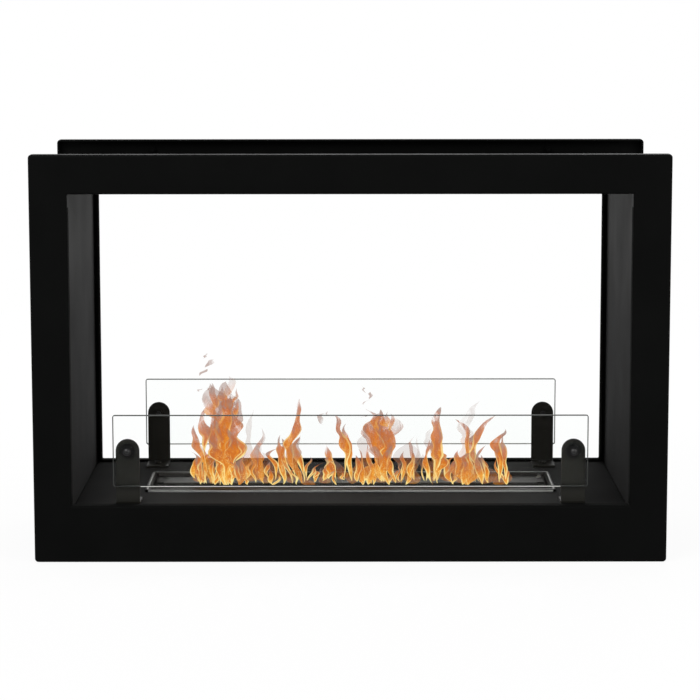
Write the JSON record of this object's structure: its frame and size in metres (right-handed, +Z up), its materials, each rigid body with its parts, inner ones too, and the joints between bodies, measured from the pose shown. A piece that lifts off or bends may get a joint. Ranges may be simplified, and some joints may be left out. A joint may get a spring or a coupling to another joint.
{
  "type": "double-sided ethanol fireplace insert",
  "caption": "See-through black steel fireplace box with wide face frames on both sides, a drop-in slot burner with a sliding lid and low glass guards.",
  "frame": {"origin": "bottom centre of the whole insert, on the plane that it stands on", "axes": "+X runs along the width, to the right as seen from the front; -Y is the front side, which the picture shows; +Z is up"},
  "size_m": [0.8, 0.34, 0.516],
  "materials": {
    "black_powder_coat": "satin black powder coat",
    "dark_grey_heat_paint": "satin black heat-resistant paint",
    "brushed_stainless": "brushed",
    "blackened_steel": "satin dark grey coat",
    "clear_tempered_glass": "polished, ground edges",
    "black_silicone": "matt",
    "mineral_fibre_board": "matt fibre board",
    "ceramic_wool": "matt fibre"
  },
  "bodies": {
    "fireplace": {"casing_bottom": "black_powder_coat", "casing_left": "black_powder_coat", "casing_right": "black_powder_coat", "casing_rivet_bottom_left_front": "blackened_steel", "casing_rivet_bottom_left_rear": "blackened_steel", "casing_rivet_bottom_right_front": "blackened_steel", "casing_rivet_bottom_right_rear": "blackened_steel", "casing_rivet_top_left_front": "blackened_steel", "casing_rivet_top_left_rear": "blackened_steel", "casing_rivet_top_right_front": "blackened_steel", "casing_rivet_top_right_rear": "blackened_steel", "casing_top": "black_powder_coat", "front_face_frame": "black_powder_coat", "front_frame_nut_bottom_left": "blackened_steel", "front_frame_nut_bottom_right": "blackened_steel", "front_frame_nut_top_left": "blackened_steel", "front_frame_nut_top_right": "blackened_steel", "front_glass": "clear_tempered_glass", "front_left_bracket": "blackened_steel", "front_left_foot_screw": "blackened_steel", "front_left_glass_nut": "blackened_steel", "front_left_glass_pad": "black_silicone", "front_left_glass_screw": "blackened_steel", "front_left_glass_washer": "black_silicone", "front_right_bracket": "blackened_steel", "front_right_foot_screw": "blackened_steel", "front_right_glass_nut": "blackened_steel", "front_right_glass_pad": "black_silicone", "front_right_glass_screw": "blackened_steel", "front_right_glass_washer": "black_silicone", "hearth_plate": "dark_grey_heat_paint", "insulation_left": "mineral_fibre_board", "insulation_right": "mineral_fibre_board", "insulation_top": "mineral_fibre_board", "liner_ceiling": "dark_grey_heat_paint", "liner_left": "dark_grey_heat_paint", "liner_right": "dark_grey_heat_paint", "rear_face_frame": "black_powder_coat", "rear_frame_nut_bottom_left": "blackened_steel", "rear_frame_nut_bottom_right": "blackened_steel", "rear_frame_nut_top_left": "blackened_steel", "rear_frame_nut_top_right": "blackened_steel", "rear_glass": "clear_tempered_glass", "rear_left_bracket": "blackened_steel", "rear_left_foot_screw": "blackened_steel", "rear_left_glass_nut": "blackened_steel", "rear_left_glass_pad": "black_silicone", "rear_left_glass_screw": "blackened_steel", "rear_left_glass_washer": "black_silicone", "rear_right_bracket": "blackened_steel", "rear_right_foot_screw": "blackened_steel", "rear_right_glass_nut": "blackened_steel", "rear_right_glass_pad": "black_silicone", "rear_right_glass_screw": "blackened_steel", "rear_right_glass_washer": "black_silicone"},
    "burner": {"burner_pan": "brushed_stainless", "burner_reservoir": "brushed_stainless", "ceramic_wool": "ceramic_wool"},
    "lid": {"burner_lid": "brushed_stainless", "lid_hook_eye": "brushed_stainless"}
  },
  "joints": [
    {"name": "burner_lift", "type": "slide", "parent": "fireplace", "child": "burner", "axis": [0, 0, 1], "range_m": [0, 0.12]},
    {"name": "lid_slide", "type": "slide", "parent": "burner", "child": "lid", "axis": [0, 1, 0], "range_m": [-0.0055, 0]}
  ]
}
